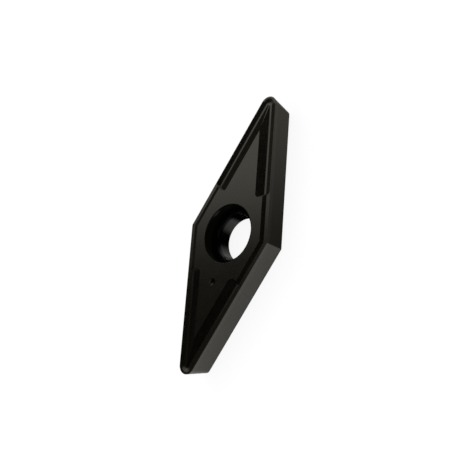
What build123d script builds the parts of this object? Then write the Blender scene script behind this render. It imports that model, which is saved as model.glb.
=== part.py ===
from build123d import *
import os
from math import atan2, cos, degrees, radians, sin, tan

# Indexable carbide turning insert: a slim rhombus that tapers down to its seating face, with two
# rounded cutting noses, a pressed chip groove round each nose and a countersunk screw hole.
# Millimetres. The origin is on the hole's axis at the seating face, +Z is up, and +X runs along
# the long diagonal through one cutting nose.

# ---- plan and height ----
inscribed_circle = 9.525
nose_angle = 35.0
nose_radius = 0.95
edge_height = 2.78
clearance_angle = 10.0
edge_hone = 0.03
foot_round = 0.04

# ---- raised middle: a level strip along the edge, then a slope up to the plateau ----
plateau_rise = 0.10
strip_width = 0.40
slope_run = 0.42

# ---- chip groove, measured inwards from the cutting edge ----
land_width = 0.07
rake_angle = 12.0
rake_run = 0.61
groove_width = 1.63
floor_radius = 0.70
plain_edge = 4.50
groove_corner = 0.40
end_slope = 45.0

# ---- screw hole ----
bore_diameter = 4.40
bore_length = 1.30
seat_flare = 0.65
rim_round = 0.08
bore_chamfer = 0.08

# ---- small sunk dot that tells the two noses apart ----
dot_offset = 4.80
dot_diameter = 0.84
dot_depth = 0.13

# ---- worked out from the values above ----
half_angle = radians(nose_angle / 2)
half_circle = inscribed_circle / 2
tip_x = half_circle / sin(half_angle)
side_y = half_circle / cos(half_angle)
nose_centre_x = (half_circle - nose_radius) / sin(half_angle)
plateau_z = edge_height + plateau_rise
edge_length = tip_x * cos(half_angle) + side_y * sin(half_angle)
groove_run = edge_length - (tip_x - nose_centre_x) * cos(half_angle) - plain_edge
slope_top = strip_width + slope_run
bore_radius = bore_diameter / 2
rim_radius = bore_radius + seat_flare

# ---- working values that leave no mark on the insert ----
above = 0.5  # how far the cutting solids stand clear of the plateau
wall_limit = 0.5  # least sideways lean of a face's normal for the face to count as a wall
ridge_margin = 1.1  # keeps the raised middle's end clear of the point where its slopes meet


def rhombus(inset):
    """Rhombus whose sides lie the given distance inside the cutting edges."""
    scale = 1 - inset / half_circle
    Polygon(
        (tip_x * scale, 0),
        (0, side_y * scale),
        (-tip_x * scale, 0),
        (0, -side_y * scale),
        align=None,
    )


# The groove's section stands where a straight edge runs into the nose arc. Its own x axis points
# out through the edge, its own y axis points up, and x = 0 is the centre of the nose arc.
edge_normal = Vector(sin(half_angle), cos(half_angle), 0)
nose_centre = Vector(nose_centre_x, 0, edge_height)
section_plane = Plane(origin=nose_centre, x_dir=edge_normal, z_dir=edge_normal.cross(Vector(0, 0, 1)))
groove_outer = nose_radius - land_width
groove_inner = groove_outer - groove_width


def groove_section():
    """Rake down from the land, valley of the floor, back wall up to the plateau, and open space."""
    Polygon(
        (groove_outer, 0),
        (groove_outer - rake_run, -rake_run * tan(radians(rake_angle))),
        (groove_inner, plateau_rise),
        (groove_inner, plateau_rise + above),
        (groove_outer, plateau_rise + above),
        align=None,
    )


# ---- tub that gives the groove's far end its rounded corners and its sloping wall ----
with BuildPart() as groove_tub:
    tub_depth = plateau_rise + rake_run * tan(radians(rake_angle))
    tub_outer = groove_outer + plateau_rise * tan(radians(end_slope))
    tub_plane = Plane(origin=(nose_centre_x, 0, plateau_z), x_dir=edge_normal, z_dir=(0, 0, 1))
    with BuildSketch(tub_plane.offset(above)) as tub_plan:
        with Locations(((groove_inner + tub_outer) / 2, (groove_run - above) / 2)):
            Rectangle(tub_outer - groove_inner, groove_run + above)
        fillet(tub_plan.vertices().group_by(Axis.Y)[-1], groove_corner)
    extrude(amount=-above - tub_depth)
    walls = [face for face in groove_tub.faces() if abs(face.normal_at().Z) < wall_limit]
    draft(walls, tub_plane, -end_slope)

# ---- straight reach of the chip groove ----
with BuildPart() as straight_groove:
    with BuildSketch(section_plane) as straight_section:
        groove_section()
        fillet(straight_section.vertices().sort_by(Axis.Y)[0], floor_radius)
    extrude(amount=-groove_run)
    add(groove_tub.part, mode=Mode.INTERSECT)
    split(bisect_by=Plane.XZ, keep=Keep.BOTTOM)

# ---- chip groove round the nose ----
with BuildPart() as nose_groove:
    with BuildSketch(section_plane) as nose_section:
        groove_section()
        fillet(nose_section.vertices().sort_by(Axis.Y)[0], floor_radius)
        with Locations((nose_radius / 2, 0)):
            Rectangle(nose_radius, 4 * above, mode=Mode.INTERSECT)
    revolve(axis=Axis(nose_centre, (0, 0, -1)), revolution_arc=180 - nose_angle)

with BuildPart() as chip_grooves:
    add(straight_groove.part)
    mirror(about=Plane.XZ)
    add(nose_groove.part)
    mirror(about=Plane.YZ)

# ---- raised middle; the grooves cut off its ends ----
with BuildPart() as raised_middle:
    ridge_end = min(nose_centre_x, (half_circle - ridge_margin * slope_top) / sin(half_angle))
    with BuildSketch(Plane.XY.offset(edge_height)):
        rhombus(strip_width)
        Rectangle(2 * ridge_end, 2 * side_y, mode=Mode.INTERSECT)
    extrude(amount=plateau_rise)
    slopes = [face for face in raised_middle.faces() if abs(face.normal_at().Y) > wall_limit]
    draft(slopes, Plane.XY.offset(edge_height), degrees(atan2(slope_run, plateau_rise)))

# ---- the insert ----
with BuildPart() as insert_body:
    with BuildSketch(Plane.XY.offset(edge_height)) as cutting_outline:
        rhombus(0)
        corners = cutting_outline.vertices().sort_by(Axis.X)
        fillet((corners[0], corners[-1]), nose_radius)
    extrude(amount=-edge_height)
    flanks = [face for face in insert_body.faces() if abs(face.normal_at().Z) < wall_limit]
    draft(flanks, Plane.XY.offset(edge_height), -clearance_angle)
    fillet(insert_body.faces().sort_by(Axis.Z)[-1].edges(), edge_hone)
    fillet(insert_body.faces().sort_by(Axis.Z)[0].edges(), foot_round)

    add(raised_middle.part)
    add(chip_grooves.part, mode=Mode.SUBTRACT)

    with BuildSketch(Plane.XZ) as hole_section:
        with BuildLine():
            bore_foot = (bore_radius, bore_chamfer)
            seat_foot = (bore_radius, bore_length)
            seat_rim = (rim_radius, plateau_z)
            TangentArc(seat_foot, seat_rim, tangent=(0, 1))
            Polyline(
                seat_rim,
                (rim_radius + above, plateau_z),
                (rim_radius + above, plateau_z + above),
                (0, plateau_z + above),
                (0, 0),
                (bore_radius + bore_chamfer, 0),
                bore_foot,
                seat_foot,
            )
        make_face()
        fillet(hole_section.vertices().sort_by_distance(seat_rim)[0], rim_round)
    revolve(axis=Axis.Z, mode=Mode.SUBTRACT)

    dot_sphere = (dot_diameter**2 / 4 + dot_depth**2) / (2 * dot_depth)
    with Locations((-dot_offset, 0, plateau_z + dot_sphere - dot_depth)):
        Sphere(dot_sphere, mode=Mode.SUBTRACT)

insert_body.part.label = "insert_body"
os.makedirs("parts", exist_ok=True)
export_step(insert_body.part, "parts/insert_body.step")
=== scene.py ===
import math

import bmesh
import bpy
from bpy.props import FloatProperty, FloatVectorProperty, PointerProperty
from mathutils import Matrix, Vector


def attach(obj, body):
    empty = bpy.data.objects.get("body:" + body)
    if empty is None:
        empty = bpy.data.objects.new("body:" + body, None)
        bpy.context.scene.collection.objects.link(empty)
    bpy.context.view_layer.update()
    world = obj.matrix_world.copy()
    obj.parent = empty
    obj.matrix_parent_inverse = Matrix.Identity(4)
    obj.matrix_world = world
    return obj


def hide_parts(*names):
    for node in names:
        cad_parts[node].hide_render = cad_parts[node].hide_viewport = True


# Coated carbide turning insert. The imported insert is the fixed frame; a copy of its mesh is merged,
# creased along its true edges and finished as five surfaces: the pressed top with its chip grooves,
# the flanks, the bore and the sunk dot, the screw seat, and the ground seating face. Metres
# throughout, with the origin on the hole's axis at the seating face.

bl_info = {
    "name": "Carbide turning insert",
    "version": (1, 0, 0),
    "blender": (4, 5, 0),
    "location": "3D View > Sidebar > Insert",
    "description": "Finishes a coated carbide turning insert and sets it on a studio stage",
    "category": "Object",
}

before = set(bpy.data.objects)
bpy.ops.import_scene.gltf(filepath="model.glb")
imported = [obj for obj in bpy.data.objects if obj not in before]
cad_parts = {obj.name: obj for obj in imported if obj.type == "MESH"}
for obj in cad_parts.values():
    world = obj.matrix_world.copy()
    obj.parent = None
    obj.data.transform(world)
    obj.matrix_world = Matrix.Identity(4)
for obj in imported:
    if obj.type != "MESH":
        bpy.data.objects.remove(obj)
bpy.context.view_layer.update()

MM = 0.001
HALF_ANGLE = math.radians(17.5)

# ---- coating: variation of its gloss and shade ----
CLOUD_SIZE = 1.1 * MM
SPECK_SIZE = 0.16 * MM
CLOUD_GLOSS = 0.06
SPECK_GLOSS = 0.05
SCORED_GLOSS = 0.12
BRUSHED_GLOSS = 0.04
CLOUD_SHARE = 0.6
SHADE_SPREAD = (0.35, 0.65)
DEEPEST, BRIGHTEST = 0.82, 1.22
RAGGEDNESS = 0.05 * MM
COATING_IOR = 1.5
# Part of the sintered grain's depth that shows on each surface.
TOP_GRAIN = 1.0
FLANK_GRAIN = 1.5
HOLE_GRAIN = 0.15
GROUND_GRAIN = 0.5
FLANK_MARKS = {"size": 0.09 * MM, "stretch": (1.0, 1.0, 14.0), "depth": 0.6}
GROUND_MARKS = {"size": 0.05 * MM, "stretch": (60.0, 1.0, 1.0), "depth": 1.2}

# ---- mesh: what tells a facet of a rounding from a true edge ----
MERGE_DISTANCE = 1e-7
STEEP = 0.6
HOLE_FOOT = 0.2 * MM
HONE_SLOPES = (0.02, 0.98)
HONE_AREA = 0.02 * MM**2
HONE_REACH = 0.05 * MM
HONE_BEND = math.radians(40.0)
ROUND_BEND = math.radians(31.0)
FLAT_BEND = math.radians(0.3)
LARGE_AREA = 2.0 * MM**2

# ---- mesh: how far up a face's normal points on each surface ----
LEVEL = 0.9999
RIM_LEVEL = 0.97
TOP_LEVEL = 0.5
SEAT_LEVEL = 0.02
FOOT_LEVEL = -0.9

# ---- studio ----
# Angles are in degrees, and azimuth turns from +Y towards +X. A change reads (start, end, value at
# the start, value at the end).
FLOOR_OWN_SHARE = 0.72
FLOOR_MIRRORED_COLOUR = (1.0, 0.985, 0.93, 1.0)
WHITE = (1.0, 1.0, 1.0, 1.0)

# Softboxes: name, azimuth, elevation, width and height as angles, radiance.
SOFTBOXES = (
    ("key_softbox", 30.0, 43.0, 40.0, 25.0, 1.30),
    ("left_softbox", -100.0, 33.0, 26.0, 18.0, 0.8),
)

# Painted window: a glowing patch on the walls that only reflections see, a painted reflection of the key
# softbox. Its near side leans with elevation, and its head is higher at small azimuths.
LEAN_CENTRE = 43.0
LEAN_DOWN, LEAN_UP = -1.3, 8.0
LEAN_RATE = 0.85
PAINTED_WINDOW_NEAR_SIDE = (0.5, 10.0, 0.0, 1.0)
PAINTED_WINDOW_FAR_SIDE = (44.0, 56.0, 1.0, 0.0)
PAINTED_WINDOW_SILL = (24.0, 37.0, 0.0, 1.0)
PAINTED_WINDOW_HEAD = (51.5, 58.0, 1.0, 0.0)
PAINTED_WINDOW_HEAD_RISE = (20.0, 31.0, 8.0, 0.0)
PAINTED_WINDOW_STRENGTH = (7.0, 26.0, 1.09, 1.34)

# Painted walls all round, which only reflections see: lighter upwards and at the back, but dark about the
# painted window.
WALL_BY_ELEVATION = (44.0, 66.0, 0.22, 0.52)
CEILING_BY_ELEVATION = (60.0, 85.0, 0.0, 0.40)
BACK_BY_DEPTH = (-0.35, 0.15, 0.0, 0.08)
DARK_CENTRE = (0.0, 44.0)
DARK_SPREAD = (32.0, 52.0, 0.0, 1.0)

# Painted dim wall behind the painted window.
DIM_BY_ELEVATION = (50.0, 66.0, 0.062, 0.010)
DIM_BY_AZIMUTH = (-1.0, 9.0, 0.03, 0.0)
DIM_SIDE = (-24.0, -8.0, 0.2, 1.0)
DIM_FOOT = (26.0, 42.0, 0.72, 1.0)
DIM_DEPTH = (-0.1, 0.3, 0.0, 1.0)

# Painted lamp: a soft glowing spot on the walls that only reflections see, a painted highlight standing in
# for the left softbox.
PAINTED_LAMP_CENTRE = (-116.0, 42.0)
PAINTED_LAMP_SPREAD = (4.0, 15.0, 4.0, 0.0)

# Colour of the painted walls' glow, warmer where it is dim.
WALL_WARMTH = (0.05, 0.6, 0.0, 1.0)
WALL_DIM_COLOUR = (1.0, 0.96, 0.74, 1.0)
WALL_BRIGHT_COLOUR = (1.0, 0.985, 0.95, 1.0)

# Panels, in millimetres.
# Black flag: a dark panel behind one groove that only reflections see; it paints a dark reflection into
# that groove and casts no shadow.
FLAG_SIDE = (-5.0, -3.4, 1.0, 0.0)
FLAG_HEAD = (5.6, 6.2, 1.0, 0.0)
FLAG_STRENGTH = 0.02
FLAG_CORNERS = ((-15.0, 8.0, 3.2), (-3.4, 8.0, 3.2), (-3.4, 8.0, 6.2), (-15.0, 8.0, 6.2))
# Painted floor shadow: a dark panel on the floor beside one flank that only reflections see, darkest near
# the middle of the insert and lighter towards the nose, in place of the insert's own shadow there.
PAINTED_SHADOW_STRENGTH = (-1.0, 14.0, 0.10, 0.38)
PAINTED_SHADOW_COLOUR = (1.0, 0.955, 0.84, 1.0)
PAINTED_SHADOW_CORNERS = ((0.0, -3.0, 0.05), (-0.2, -16.0, 0.05), (22.0, -16.0, 0.05), (22.0, 1.5, 0.05),
                (13.0, 0.0, 0.05))
# Painted reflection for the bore's wall: glowing panels below the glass under the hole, which only
# reflections see. Columns: centre x and y, radius, strength. Each fades out from a part of its radius.
SHEETS = ((-24.0, -20.0, 27.0, 1.25), (30.0, 8.0, 25.0, 0.6))
SHEET_FULL_PART = 0.45
SHEET_LEVEL = -30.0
SHEET_HALF = 60.0
SHEET_CORNERS = tuple((x * SHEET_HALF, y * SHEET_HALF, SHEET_LEVEL)
                      for x, y in ((-1, -1), (1, -1), (1, 1), (-1, 1)))

# ---- camera: the directions of its own axes, its place and its lens ----
CAMERA_RIGHT = Vector((0.298161, -0.703125, -0.645535))
CAMERA_UP = Vector((0.952071, 0.170700, 0.253815))
CAMERA_BACK = Vector((-0.068271, -0.690273, 0.720321))
CAMERA_PLACE = Vector((-5.10129, -52.67378, 56.7723)) * MM
CAMERA_LENS = 61.992
CAMERA_SENSOR = 36.0
CAMERA_CLIP = (0.001, 20.0)


# ---------------------------------------------------------------- settings


class InsertSizes(bpy.types.PropertyGroup):
    """Sizes of the insert that its surfaces are told apart by"""

    edge_height: FloatProperty(
        name="Edge height", description="Height of the cutting edges above the seating face",
        default=2.78 * MM, unit="LENGTH", precision=5)
    inscribed_radius: FloatProperty(
        name="Inscribed radius", description="Radius of the circle that touches all four cutting edges",
        default=4.7625 * MM, unit="LENGTH", precision=5)
    nose_radius: FloatProperty(
        name="Nose radius", description="Radius of the two cutting noses seen from above",
        default=0.95 * MM, unit="LENGTH", precision=5)
    bore_radius: FloatProperty(
        name="Bore radius", description="Radius of the straight part of the screw hole",
        default=2.20 * MM, unit="LENGTH", precision=5)
    seat_radius: FloatProperty(
        name="Seat radius", description="Radius of the flared screw seat at the plateau",
        default=2.96 * MM, unit="LENGTH", precision=5)
    dot_offset: FloatProperty(
        name="Dot offset", description="Distance of the small sunk dot from the hole's axis",
        default=4.80 * MM, unit="LENGTH", precision=5)
    dot_radius: FloatProperty(
        name="Dot radius", description="Radius of the small sunk dot",
        default=0.42 * MM, unit="LENGTH", precision=5)
    crease_angle: FloatProperty(
        name="Crease angle", description="Least angle between two faces that makes their edge a sharp one",
        default=math.radians(10.5), subtype="ANGLE")


class CoatingLook(bpy.types.PropertyGroup):
    """Colour and gloss of the coating"""

    colour: FloatVectorProperty(
        name="Colour", description="Colour of the coating, a warm near-black",
        default=(0.0015, 0.0013, 0.0010), subtype="COLOR", size=3, min=0.0, max=1.0, precision=4)
    worn_colour: FloatVectorProperty(
        name="Edge colour", description="Colour of the brushed coating along the honed cutting edges",
        default=(0.010, 0.0095, 0.008), subtype="COLOR", size=3, min=0.0, max=1.0, precision=4)
    # Painted shade: the seat, bore and dot get the coating's colour darkened by this factor, for the shade
    # in the hole.
    hole_painted_shade: FloatProperty(
        name="Hole colour", description="How much of the coating's colour shows in the seat, bore and dot",
        default=0.35, min=0.0, max=1.0, subtype="FACTOR")
    gloss_tint: FloatVectorProperty(
        name="Gloss tint", description="Tint of what the coating reflects",
        default=(1.0, 0.965, 0.83), subtype="COLOR", size=3, min=0.0, max=1.0)
    gloss_level: FloatProperty(
        name="Gloss level", description="Level of the gloss on the top, the flanks and the seating face",
        default=0.5, min=0.0, max=1.0, subtype="FACTOR")
    bore_gloss_level: FloatProperty(
        name="Bore gloss level", description="Level of the gloss in the bore and the sunk dot",
        default=0.22, min=0.0, max=1.0, subtype="FACTOR")
    seat_gloss_level: FloatProperty(
        name="Seat gloss level", description="Level of the gloss on the screw seat",
        default=0.06, min=0.0, max=1.0, subtype="FACTOR")
    top_roughness: FloatProperty(
        name="Top roughness", description="Roughness of the pressed top face",
        default=0.17, min=0.0, max=1.0, subtype="FACTOR")
    flank_roughness: FloatProperty(
        name="Flank roughness", description="Roughness of the flanks",
        default=0.36, min=0.0, max=1.0, subtype="FACTOR")
    bore_roughness: FloatProperty(
        name="Bore roughness", description="Roughness of the screw seat and the bore",
        default=0.22, min=0.0, max=1.0, subtype="FACTOR")
    grain_size: FloatProperty(
        name="Grain size", description="Size of the sintered grain under the coating",
        default=0.07 * MM, unit="LENGTH", precision=6)
    grain_depth: FloatProperty(
        name="Grain depth", description="Depth of the sintered grain under the coating",
        default=0.0016 * MM, unit="LENGTH", precision=7)
    wear_width: FloatProperty(
        name="Brushed edge width", description="Width of the brushed band along the cutting edges",
        default=0.055 * MM, unit="LENGTH", precision=6)


class StudioStage(bpy.types.PropertyGroup):
    """Floor, lights and studio walls"""

    floor_size: FloatProperty(
        name="Floor size", description="Side of the square floor", default=4.0, unit="LENGTH")
    floor_colour: FloatVectorProperty(
        name="Floor colour", description="Colour of the plain pale floor",
        default=(0.86, 0.86, 0.86), subtype="COLOR", size=3, min=0.0, max=1.0)
    floor_lift: FloatProperty(
        name="Floor lift",
        description="How much of the floor's white is its own, so that its shadow stays faint",
        default=0.87, min=0.0, max=1.0, subtype="FACTOR")
    mirrored_lift: FloatProperty(
        name="Mirrored floor lift", description="How much light of its own the floor has in reflections",
        default=0.385, min=0.0, max=1.0, subtype="FACTOR")
    fill_strength: FloatProperty(
        name="Fill strength", description="Strength of the even light from all round",
        default=0.55, min=0.0)
    softbox_distance: FloatProperty(
        name="Softbox distance", description="Distance of the softboxes from the insert",
        default=0.5, unit="LENGTH")
    wall_distance: FloatProperty(
        name="Wall distance", description="Distance of the studio walls from the insert",
        default=1.0, unit="LENGTH")


# ---------------------------------------------------------------- node helpers


def new_material(name):
    """A material with an empty node tree."""
    material = bpy.data.materials.new(name)
    material.use_nodes = True
    material.node_tree.nodes.clear()
    return material, material.node_tree


def add_node(tree, kind, inputs=None, **settings):
    """A node with its settings, and with its inputs set or linked."""
    made = tree.nodes.new(kind)
    for name, value in settings.items():
        setattr(made, name, value)
    for key, value in (inputs or {}).items():
        if isinstance(value, bpy.types.NodeSocket):
            tree.links.new(value, made.inputs[key])
        else:
            made.inputs[key].default_value = value
    return made


def calc(tree, operation, first, second=0.0):
    """Output of a Math node."""
    return add_node(tree, "ShaderNodeMath", {0: first, 1: second}, operation=operation).outputs[0]


def ramp(tree, value, start, end, low, high):
    """Smooth change from low to high while the value goes from start to end."""
    return add_node(tree, "ShaderNodeMapRange", {0: value, 1: start, 2: end, 3: low, 4: high},
                    interpolation_type="SMOOTHSTEP").outputs[0]


def ramp_mm(tree, value, start, end, low, high):
    """The same change, with start and end in millimetres."""
    return ramp(tree, value, start * MM, end * MM, low, high)


def blend(tree, factor, first, second):
    """Colour between two colours."""
    return add_node(tree, "ShaderNodeMix", {"Factor": factor, 6: first, 7: second},
                    data_type="RGBA").outputs[2]


def noise(tree, place, size, stretch=(1.0, 1.0, 1.0), detail=3.0, roughness=0.6):
    """Noise of a feature size in metres, drawn out along an axis where stretch is above 1."""
    scale = tuple(1.0 / (size * s) for s in stretch)
    mapped = add_node(tree, "ShaderNodeMapping", {"Vector": place, "Scale": scale}).outputs[0]
    return add_node(tree, "ShaderNodeTexNoise", {
        "Vector": mapped, "Scale": 1.0, "Detail": detail, "Roughness": roughness}).outputs["Fac"]


def object_place(tree):
    """Object coordinates."""
    return add_node(tree, "ShaderNodeTexCoord").outputs["Object"]


def seen_by(tree, *kinds):
    """1 for the given kinds of ray, else 0."""
    path = add_node(tree, "ShaderNodeLightPath")
    total = path.outputs[kinds[0]]
    for kind in kinds[1:]:
        total = calc(tree, "MAXIMUM", total, path.outputs[kind])
    return total


# ---------------------------------------------------------------- coating


def edge_distance(tree, place, sizes):
    """How far a point lies inside the cutting edge, seen from above."""
    split = add_node(tree, "ShaderNodeSeparateXYZ", {0: place})
    along, across = (calc(tree, "ABSOLUTE", split.outputs[axis]) for axis in (0, 1))
    centre = (sizes.inscribed_radius - sizes.nose_radius) / math.sin(HALF_ANGLE)
    beyond = calc(tree, "SUBTRACT", along, centre)
    level = calc(tree, "ADD", calc(tree, "MULTIPLY", beyond, math.sin(HALF_ANGLE)),
                 calc(tree, "MULTIPLY", across, math.cos(HALF_ANGLE)))
    ahead = calc(tree, "SUBTRACT", calc(tree, "MULTIPLY", beyond, math.cos(HALF_ANGLE)),
                 calc(tree, "MULTIPLY", across, math.sin(HALF_ANGLE)))
    round_nose = calc(tree, "SQRT", calc(tree, "ADD", calc(tree, "POWER", beyond, 2.0),
                                         calc(tree, "POWER", across, 2.0)))
    at_nose = calc(tree, "GREATER_THAN", ahead, 0.0)
    outward = add_node(tree, "ShaderNodeMix", {0: at_nose, 2: level, 3: round_nose}).outputs[0]
    return calc(tree, "SUBTRACT", sizes.nose_radius, outward)


def vary(tree, value, pattern, amount):
    """Value that swings about its middle with a pattern, by the given amount."""
    swing = calc(tree, "MULTIPLY", calc(tree, "SUBTRACT", pattern, 0.5), amount)
    return calc(tree, "ADD", value, swing)


def coating(name, look, sizes, roughness, gloss_level, grain, marks=None, edge_wear=False,
            painted_shade_factor=1.0):
    """The coating: sintered grain under a satin skin, cloudy gloss, and brushed cutting edges. A shade
    factor below 1 darkens its colour as painted shade, as in the hole.
    """
    material, tree = new_material(name)
    place = object_place(tree)
    fine = noise(tree, place, look.grain_size)
    cloud = noise(tree, place, CLOUD_SIZE, detail=2.0)
    speck = noise(tree, place, SPECK_SIZE, detail=1.0)

    gloss = vary(tree, roughness, cloud, CLOUD_GLOSS)
    gloss = vary(tree, gloss, speck, SPECK_GLOSS)
    mottle = calc(tree, "ADD", calc(tree, "MULTIPLY", cloud, CLOUD_SHARE),
                  calc(tree, "MULTIPLY", speck, 1.0 - CLOUD_SHARE))
    # Painted shade: a shade factor below 1 darkens both the deep and the bright colour.
    deep = tuple(DEEPEST * painted_shade_factor * c for c in look.colour) + (1.0,)
    bright = tuple(BRIGHTEST * painted_shade_factor * c for c in look.colour) + (1.0,)
    colour = blend(tree, ramp(tree, mottle, *SHADE_SPREAD, 0.0, 1.0), deep, bright)

    height = calc(tree, "MULTIPLY", fine, grain)
    if marks:
        scored = noise(tree, place, marks["size"], marks["stretch"], detail=2.0, roughness=0.5)
        height = calc(tree, "ADD", height, calc(tree, "MULTIPLY", scored, marks["depth"]))
        gloss = vary(tree, gloss, scored, SCORED_GLOSS)
    if edge_wear:
        inside = edge_distance(tree, place, sizes)
        ragged = vary(tree, inside, speck, RAGGEDNESS)
        brushed = ramp(tree, ragged, look.wear_width, 2.0 * look.wear_width, 1.0, 0.0)
        colour = blend(tree, brushed, colour, look.worn_colour[:] + (1.0,))
        gloss = calc(tree, "SUBTRACT", gloss, calc(tree, "MULTIPLY", brushed, BRUSHED_GLOSS))

    bump = add_node(tree, "ShaderNodeBump", {
        "Strength": 1.0, "Distance": look.grain_depth, "Height": height})
    shader = add_node(tree, "ShaderNodeBsdfPrincipled", {
        "Base Color": colour, "Roughness": gloss, "Metallic": 0.0, "IOR": COATING_IOR,
        "Specular IOR Level": gloss_level, "Specular Tint": look.gloss_tint[:] + (1.0,),
        "Normal": bump.outputs[0]})
    add_node(tree, "ShaderNodeOutputMaterial", {"Surface": shader.outputs[0]})
    return material


# ---------------------------------------------------------------- insert


class INSERT_OT_finish_body(bpy.types.Operator):
    """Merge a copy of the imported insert, crease it along its true edges and coat its five surfaces"""

    bl_idname = "insert.finish_body"
    bl_label = "Finish insert body"

    def execute(self, context):
        sizes, look = context.scene.insert_sizes, context.scene.insert_coating
        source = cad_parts["insert_body"]
        shape = bmesh.new()
        shape.from_mesh(source.data)
        bmesh.ops.remove_doubles(shape, verts=shape.verts, dist=MERGE_DISTANCE)
        self.crease(shape, sizes)
        for face in shape.faces:
            face.smooth = True
            face.material_index = self.surface_of(face, sizes)
        mesh = bpy.data.meshes.new("coated_insert")
        shape.faces.index_update()
        corner_normals = self.true_normals(shape)
        shape.to_mesh(mesh)
        shape.free()
        mesh.normals_split_custom_set([
            corner_normals[face.index, mesh.loops[corner].vertex_index]
            for face in mesh.polygons for corner in face.loop_indices])

        for material in self.finishes(look, sizes):
            mesh.materials.append(material)
        body = bpy.data.objects.new("coated_insert", mesh)
        context.scene.collection.objects.link(body)

        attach(body, "root")
        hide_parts("insert_body")
        return {"FINISHED"}

    def finishes(self, look, sizes):
        """Top, flank, bore and sunk dot, screw seat, seating face."""
        return (
            coating("coated_top", look, sizes, look.top_roughness, look.gloss_level, TOP_GRAIN,
                    edge_wear=True),
            coating("coated_flank", look, sizes, look.flank_roughness, look.gloss_level, FLANK_GRAIN,
                    marks=FLANK_MARKS, edge_wear=True),
            # The bore, sunk dot and seat take a darkened colour: painted shade in the hole.
            coating("coated_bore", look, sizes, look.bore_roughness, look.bore_gloss_level, HOLE_GRAIN,
                    painted_shade_factor=look.hole_painted_shade),
            coating("coated_seat", look, sizes, look.bore_roughness, look.seat_gloss_level, HOLE_GRAIN,
                    painted_shade_factor=look.hole_painted_shade),
            coating("ground_seat", look, sizes, look.flank_roughness, look.gloss_level, GROUND_GRAIN,
                    marks=GROUND_MARKS),
        )

    def crease(self, shape, sizes):
        """Mark the true edges sharp. Facets of the noses, the hone and the hole stay smooth."""
        gentlest, steepest = HONE_SLOPES
        for edge in shape.edges:
            bend = edge.calc_face_angle(0.0)
            steep = all(abs(face.normal.z) < STEEP for face in edge.link_faces)
            middle = (edge.verts[0].co + edge.verts[1].co) / 2
            in_hole = math.hypot(middle.x, middle.y) < sizes.seat_radius and middle.z > HOLE_FOOT
            on_hone = any(gentlest < abs(face.normal.z) < steepest and face.calc_area() < HONE_AREA
                          for face in edge.link_faces) and abs(middle.z - sizes.edge_height) < HONE_REACH
            limit = ROUND_BEND if steep or in_hole else sizes.crease_angle
            edge.smooth = bend < limit or (on_hone and bend < HONE_BEND)

    def true_normals(self, shape):
        """Corner normals by (face, vertex). A large flat face keeps its own, even beside a rounding."""
        area = self.flat_areas(shape)
        normals = {}
        for vertex in shape.verts:
            waiting = set(vertex.link_faces)
            while waiting:
                fan = self.smooth_fan(vertex, waiting)
                flat = max(fan, key=area.get)
                if area[flat] > LARGE_AREA:
                    normal = flat.normal.copy()
                else:
                    normal = sum((face.normal * self.corner_angle(face, vertex) for face in fan), Vector())
                    normal.normalize()
                for face in fan:
                    normals[face.index, vertex.index] = normal
        return normals

    def flat_areas(self, shape):
        """Area of the flat patch that each face belongs to."""
        patch = {}
        for start in shape.faces:
            if start in patch:
                continue
            patch[start] = found = [start]
            for face in found:
                for edge in face.edges:
                    for other in edge.link_faces:
                        if other not in patch and other.normal.angle(start.normal, math.pi) < FLAT_BEND:
                            patch[other] = found
                            found.append(other)
        return {face: sum(member.calc_area() for member in found) for face, found in patch.items()}

    def smooth_fan(self, vertex, waiting):
        """Faces round a vertex with no sharp edge between them, taken out of those that wait."""
        fan = [waiting.pop()]
        for face in fan:
            for edge in face.edges:
                if edge.smooth and vertex in edge.verts:
                    for other in edge.link_faces:
                        if other in waiting:
                            waiting.remove(other)
                            fan.append(other)
        return fan

    def corner_angle(self, face, vertex):
        """Angle of a face at one of its corners."""
        return next(loop.calc_angle() for loop in face.loops if loop.vert == vertex)

    def surface_of(self, face, sizes):
        """0 top, 1 flank, 2 bore and sunk dot, 3 screw seat, 4 seating face."""
        centre = face.calc_center_median()
        upright = face.normal.z
        if math.hypot(centre.x + sizes.dot_offset, centre.y) < sizes.dot_radius and 0 < upright < LEVEL:
            return 2
        if upright < FOOT_LEVEL:
            return 4
        if math.hypot(centre.x, centre.y) < sizes.seat_radius and upright < RIM_LEVEL:
            return 3 if upright > SEAT_LEVEL else 2
        return 1 if upright < TOP_LEVEL else 0


# ---------------------------------------------------------------- stage


def direction(azimuth, elevation):
    """Unit vector of a direction in the studio."""
    a, e = math.radians(azimuth), math.radians(elevation)
    return Vector((math.sin(a) * math.cos(e), math.cos(a) * math.cos(e), math.sin(e)))


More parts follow.
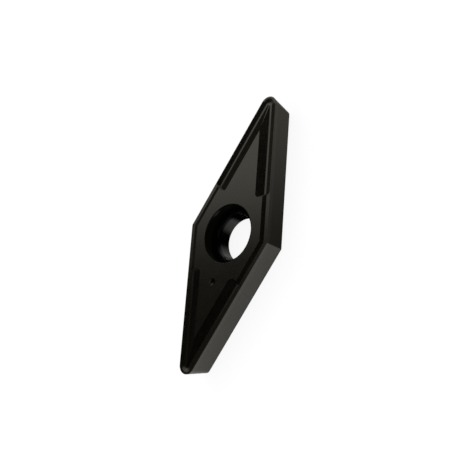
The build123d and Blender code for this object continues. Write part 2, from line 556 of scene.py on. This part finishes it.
class INSERT_OT_stage(bpy.types.Operator):
    """Lay the pale floor, light it, paint the studio that the coating reflects, and set the camera"""

    bl_idname = "insert.stage"
    bl_label = "Set the stage"

    def execute(self, context):
        studio = context.scene.insert_stage
        self.floor(studio, context.scene.insert_sizes)
        self.world(context, studio)
        self.walls(studio)
        self.flag()
        self.paint_floor_shadow()
        self.paint_bore_reflection()
        for values in SOFTBOXES:
            self.softbox(studio, *values)
        self.camera(context)
        context.scene.view_settings.view_transform = "Standard"
        return {"FINISHED"}

    def put(self, name, mesh, material, only_mirrored):
        """Put a mesh on the stage. Where only reflections see it, it lights and shades nothing else."""
        mesh.materials.append(material)
        thing = bpy.data.objects.new(name, mesh)
        bpy.context.scene.collection.objects.link(thing)
        if only_mirrored:
            thing.visible_camera = False
            thing.visible_diffuse = False
            thing.visible_transmission = False
            thing.visible_volume_scatter = False
            thing.visible_shadow = False

    def panel(self, name, corners, material):
        """Flat panel that only reflections see, with its corners in millimetres."""
        mesh = bpy.data.meshes.new(name)
        points = [[value * MM for value in corner] for corner in corners]
        mesh.from_pydata(points, [], [tuple(range(len(corners)))])
        self.put(name, mesh, material, only_mirrored=True)

    def floor(self, studio, sizes):
        """Pale floor; under the hole it is glass to reflections, which see the glowing panels below it, a
        painted reflection on the bore's wall.
        """
        material, tree = new_material("pale_floor")
        matt = add_node(tree, "ShaderNodeBsdfDiffuse", {"Color": studio.floor_colour[:] + (1.0,)})
        seen = seen_by(tree, "Is Camera Ray", "Is Transmission Ray")
        mirrored = seen_by(tree, "Is Glossy Ray")
        lift = calc(tree, "ADD", calc(tree, "MULTIPLY", seen, studio.floor_lift),
                    calc(tree, "MULTIPLY", mirrored, studio.mirrored_lift))
        shade = blend(tree, mirrored, WHITE, FLOOR_MIRRORED_COLOUR)
        own = add_node(tree, "ShaderNodeEmission", {"Color": shade, "Strength": lift})
        dim = add_node(tree, "ShaderNodeMixShader",
                       {0: calc(tree, "MULTIPLY", seen, FLOOR_OWN_SHARE), 1: matt.outputs[0]})
        both = add_node(tree, "ShaderNodeAddShader", {0: dim.outputs[0], 1: own.outputs[0]})
        from_axis = add_node(tree, "ShaderNodeVectorMath", {0: object_place(tree)},
                             operation="LENGTH").outputs["Value"]
        under_bore = calc(tree, "MULTIPLY", calc(tree, "LESS_THAN", from_axis, sizes.bore_radius), mirrored)
        clear = add_node(tree, "ShaderNodeBsdfTransparent", {"Color": WHITE})
        pane = add_node(tree, "ShaderNodeMixShader",
                        {0: under_bore, 1: both.outputs[0], 2: clear.outputs[0]})
        add_node(tree, "ShaderNodeOutputMaterial", {"Surface": pane.outputs[0]})
        half = studio.floor_size / 2
        mesh = bpy.data.meshes.new("floor")
        mesh.from_pydata([(-half, -half, 0), (half, -half, 0), (half, half, 0), (-half, half, 0)],
                         [], [(0, 1, 2, 3)])
        self.put("floor", mesh, material, only_mirrored=False)

    def world(self, context, studio):
        """White room, which is plain white to the eye and in reflections, and gives an even fill light."""
        world = bpy.data.worlds.new("white_room")
        world.use_nodes = True
        tree = world.node_tree
        tree.nodes.clear()
        seen = seen_by(tree, "Is Camera Ray", "Is Glossy Ray", "Is Transmission Ray")
        strength = add_node(tree, "ShaderNodeMix", {0: seen, 2: studio.fill_strength, 3: 1.0}).outputs[0]
        light = add_node(tree, "ShaderNodeBackground", {"Color": WHITE, "Strength": strength})
        add_node(tree, "ShaderNodeOutputWorld", {"Surface": light.outputs[0]})
        context.scene.world = world

    def walls(self, studio):
        """Painted reflections: walls of the studio that only reflections show, glowing with a painted
        window, a painted lamp spot and dim walls.
        """
        material, tree = new_material("painted_reflection_walls")
        towards = add_node(tree, "ShaderNodeVectorMath", {0: object_place(tree)},
                           operation="NORMALIZE").outputs["Vector"]
        split = add_node(tree, "ShaderNodeSeparateXYZ", {0: towards})
        azimuth = calc(tree, "DEGREES", calc(tree, "ARCTAN2", split.outputs[0], split.outputs[1]))
        elevation = calc(tree, "DEGREES", calc(tree, "ARCSINE", split.outputs[2]))
        depth = split.outputs[1]

        strength = self.window(tree, azimuth, elevation)
        far = self.far_walls(tree, towards, depth, elevation)
        dim = self.dim_wall(tree, azimuth, depth, elevation)
        # Painted lamp spot: a painted highlight in place of the left softbox's reflection.
        lamp = ramp(tree, self.angle_from(tree, towards, PAINTED_LAMP_CENTRE), *PAINTED_LAMP_SPREAD)
        for part in (far, dim, lamp):
            strength = calc(tree, "ADD", strength, part)
        colour = blend(tree, ramp(tree, strength, *WALL_WARMTH), WALL_DIM_COLOUR, WALL_BRIGHT_COLOUR)
        glow = add_node(tree, "ShaderNodeEmission", {"Color": colour, "Strength": strength})
        add_node(tree, "ShaderNodeOutputMaterial", {"Surface": glow.outputs[0]})

        shell = bmesh.new()
        bmesh.ops.create_uvsphere(shell, u_segments=96, v_segments=48, radius=studio.wall_distance)
        below_floor = [vertex for vertex in shell.verts if vertex.co.z < -MM]
        bmesh.ops.delete(shell, geom=below_floor, context="VERTS")
        bmesh.ops.reverse_faces(shell, faces=shell.faces)
        mesh = bpy.data.meshes.new("painted_reflection_walls")
        shell.to_mesh(mesh)
        shell.free()
        self.put("painted_reflection_walls", mesh, material, only_mirrored=True)

    def angle_from(self, tree, towards, centre):
        """Angle from a direction of the studio, in degrees."""
        along = add_node(tree, "ShaderNodeVectorMath", {0: towards, 1: direction(*centre)},
                         operation="DOT_PRODUCT").outputs["Value"]
        return calc(tree, "DEGREES", calc(tree, "ARCCOSINE", along))

    def window(self, tree, azimuth, elevation):
        """Painted window, a painted reflection of the key softbox: tall, with a leaning side."""
        lean = calc(tree, "MAXIMUM", calc(tree, "SUBTRACT", elevation, LEAN_CENTRE), LEAN_DOWN)
        lean = calc(tree, "MULTIPLY", calc(tree, "MINIMUM", lean, LEAN_UP), LEAN_RATE)
        below_head = calc(tree, "SUBTRACT", elevation, ramp(tree, azimuth, *PAINTED_WINDOW_HEAD_RISE))
        light = ramp(tree, calc(tree, "SUBTRACT", azimuth, lean), *PAINTED_WINDOW_NEAR_SIDE)
        for value, change in ((azimuth, PAINTED_WINDOW_FAR_SIDE), (elevation, PAINTED_WINDOW_SILL),
                              (below_head, PAINTED_WINDOW_HEAD), (azimuth, PAINTED_WINDOW_STRENGTH)):
            light = calc(tree, "MULTIPLY", light, ramp(tree, value, *change))
        return light

    def far_walls(self, tree, towards, depth, elevation):
        """Painted walls and ceiling away from the painted window."""
        light = calc(tree, "ADD", ramp(tree, elevation, *WALL_BY_ELEVATION),
                     ramp(tree, elevation, *CEILING_BY_ELEVATION))
        light = calc(tree, "ADD", light, ramp(tree, depth, *BACK_BY_DEPTH))
        away = ramp(tree, self.angle_from(tree, towards, DARK_CENTRE), *DARK_SPREAD)
        return calc(tree, "MULTIPLY", light, away)

    def dim_wall(self, tree, azimuth, depth, elevation):
        """Painted dim wall behind the painted window."""
        light = calc(tree, "ADD", ramp(tree, elevation, *DIM_BY_ELEVATION),
                     ramp(tree, azimuth, *DIM_BY_AZIMUTH))
        for value, change in ((azimuth, DIM_SIDE), (elevation, DIM_FOOT), (depth, DIM_DEPTH)):
            light = calc(tree, "MULTIPLY", light, ramp(tree, value, *change))
        return light

    def flag(self):
        """Small black flag behind one groove, which only reflections see: a painted dark reflection in that
        groove.
        """
        material, tree = new_material("black_flag")
        split = add_node(tree, "ShaderNodeSeparateXYZ", {0: object_place(tree)})
        soft = calc(tree, "MULTIPLY", ramp_mm(tree, split.outputs[0], *FLAG_SIDE),
                    ramp_mm(tree, split.outputs[2], *FLAG_HEAD))
        clear = add_node(tree, "ShaderNodeBsdfTransparent", {"Color": WHITE})
        black = add_node(tree, "ShaderNodeEmission", {"Color": WHITE, "Strength": FLAG_STRENGTH})
        mixed = add_node(tree, "ShaderNodeMixShader", {0: soft, 1: clear.outputs[0], 2: black.outputs[0]})
        add_node(tree, "ShaderNodeOutputMaterial", {"Surface": mixed.outputs[0]})
        self.panel("black_flag", FLAG_CORNERS, material)

    def paint_floor_shadow(self):
        """Painted floor shadow beside one flank, which only reflections see, darker towards the middle of
        the insert.
        """
        material, tree = new_material("painted_floor_shadow")
        along = add_node(tree, "ShaderNodeSeparateXYZ", {0: object_place(tree)}).outputs[0]
        glow = add_node(tree, "ShaderNodeEmission",
                        {"Color": PAINTED_SHADOW_COLOUR, "Strength": ramp_mm(tree, along, *PAINTED_SHADOW_STRENGTH)})
        add_node(tree, "ShaderNodeOutputMaterial", {"Surface": glow.outputs[0]})
        self.panel("painted_floor_shadow", PAINTED_SHADOW_CORNERS, material)

    def paint_bore_reflection(self):
        """Painted reflection: two glowing spots below the glass under the hole, which only the bore's wall
        shows.
        """
        material, tree = new_material("painted_bore_reflection")
        place = object_place(tree)
        light = 0.0
        for x, y, radius, strength in SHEETS:
            centre = (x * MM, y * MM, SHEET_LEVEL * MM)
            distance = add_node(tree, "ShaderNodeVectorMath", {0: place, 1: centre},
                                operation="DISTANCE").outputs["Value"]
            spot = ramp_mm(tree, distance, SHEET_FULL_PART * radius, radius, strength, 0.0)
            light = calc(tree, "ADD", light, spot)
        glow = add_node(tree, "ShaderNodeEmission", {"Color": WHITE, "Strength": light})
        add_node(tree, "ShaderNodeOutputMaterial", {"Surface": glow.outputs[0]})
        self.panel("painted_bore_reflection", SHEET_CORNERS, material)

    def softbox(self, studio, name, azimuth, elevation, width, height, radiance):
        """Rectangular area light that faces the insert, sized by the angle that it fills."""
        distance = studio.softbox_distance
        across = 2 * distance * math.tan(math.radians(width) / 2) * math.cos(math.radians(elevation))
        upward = 2 * distance * math.tan(math.radians(height) / 2)
        lamp = bpy.data.lights.new(name, "AREA")
        lamp.shape = "RECTANGLE"
        lamp.size, lamp.size_y = across, upward
        lamp.energy = radiance * math.pi * across * upward
        box = bpy.data.objects.new(name, lamp)
        bpy.context.scene.collection.objects.link(box)
        towards = direction(azimuth, elevation)
        box.location = towards * distance
        box.rotation_euler = towards.to_track_quat("Z", "Y").to_euler()
        box.visible_camera = False
        # Reflections don't see the softboxes; the painted window and painted lamp spot on the walls stand
        # in for them.
        box.visible_glossy = False

    def camera(self, context):
        """Camera that looks down on the insert's near side."""
        lens = bpy.data.cameras.new("camera")
        lens.sensor_width = CAMERA_SENSOR
        lens.lens = CAMERA_LENS
        lens.clip_start, lens.clip_end = CAMERA_CLIP
        camera = bpy.data.objects.new("camera", lens)
        context.scene.collection.objects.link(camera)
        turn = Matrix((CAMERA_RIGHT, CAMERA_UP, CAMERA_BACK)).transposed()
        camera.matrix_world = Matrix.Translation(CAMERA_PLACE) @ turn.to_4x4()
        context.scene.camera = camera


# ---------------------------------------------------------------- panel and run


class INSERT_PT_panel(bpy.types.Panel):
    """Sidebar panel of the insert"""

    bl_idname = "INSERT_PT_panel"
    bl_label = "Carbide insert"
    bl_space_type = "VIEW_3D"
    bl_region_type = "UI"
    bl_category = "Insert"

    def draw(self, context):
        for group in (context.scene.insert_sizes, context.scene.insert_coating, context.scene.insert_stage):
            box = self.layout.box()
            for name in group.__annotations__:
                box.prop(group, name)
        for operator in OPERATORS:
            self.layout.operator(operator.bl_idname)


OPERATORS = (INSERT_OT_finish_body, INSERT_OT_stage)
GROUPS = {"insert_sizes": InsertSizes, "insert_coating": CoatingLook, "insert_stage": StudioStage}


def register():
    for kind in (*GROUPS.values(), *OPERATORS, INSERT_PT_panel):
        bpy.utils.register_class(kind)
    for name, group in GROUPS.items():
        setattr(bpy.types.Scene, name, PointerProperty(type=group))


def unregister():
    for name in GROUPS:
        delattr(bpy.types.Scene, name)
    for kind in (INSERT_PT_panel, *reversed(OPERATORS), *GROUPS.values()):
        bpy.utils.unregister_class(kind)


def main():
    register()
    bpy.ops.insert.stage()
    bpy.ops.insert.finish_body()


if __name__ == "__main__":
    main()
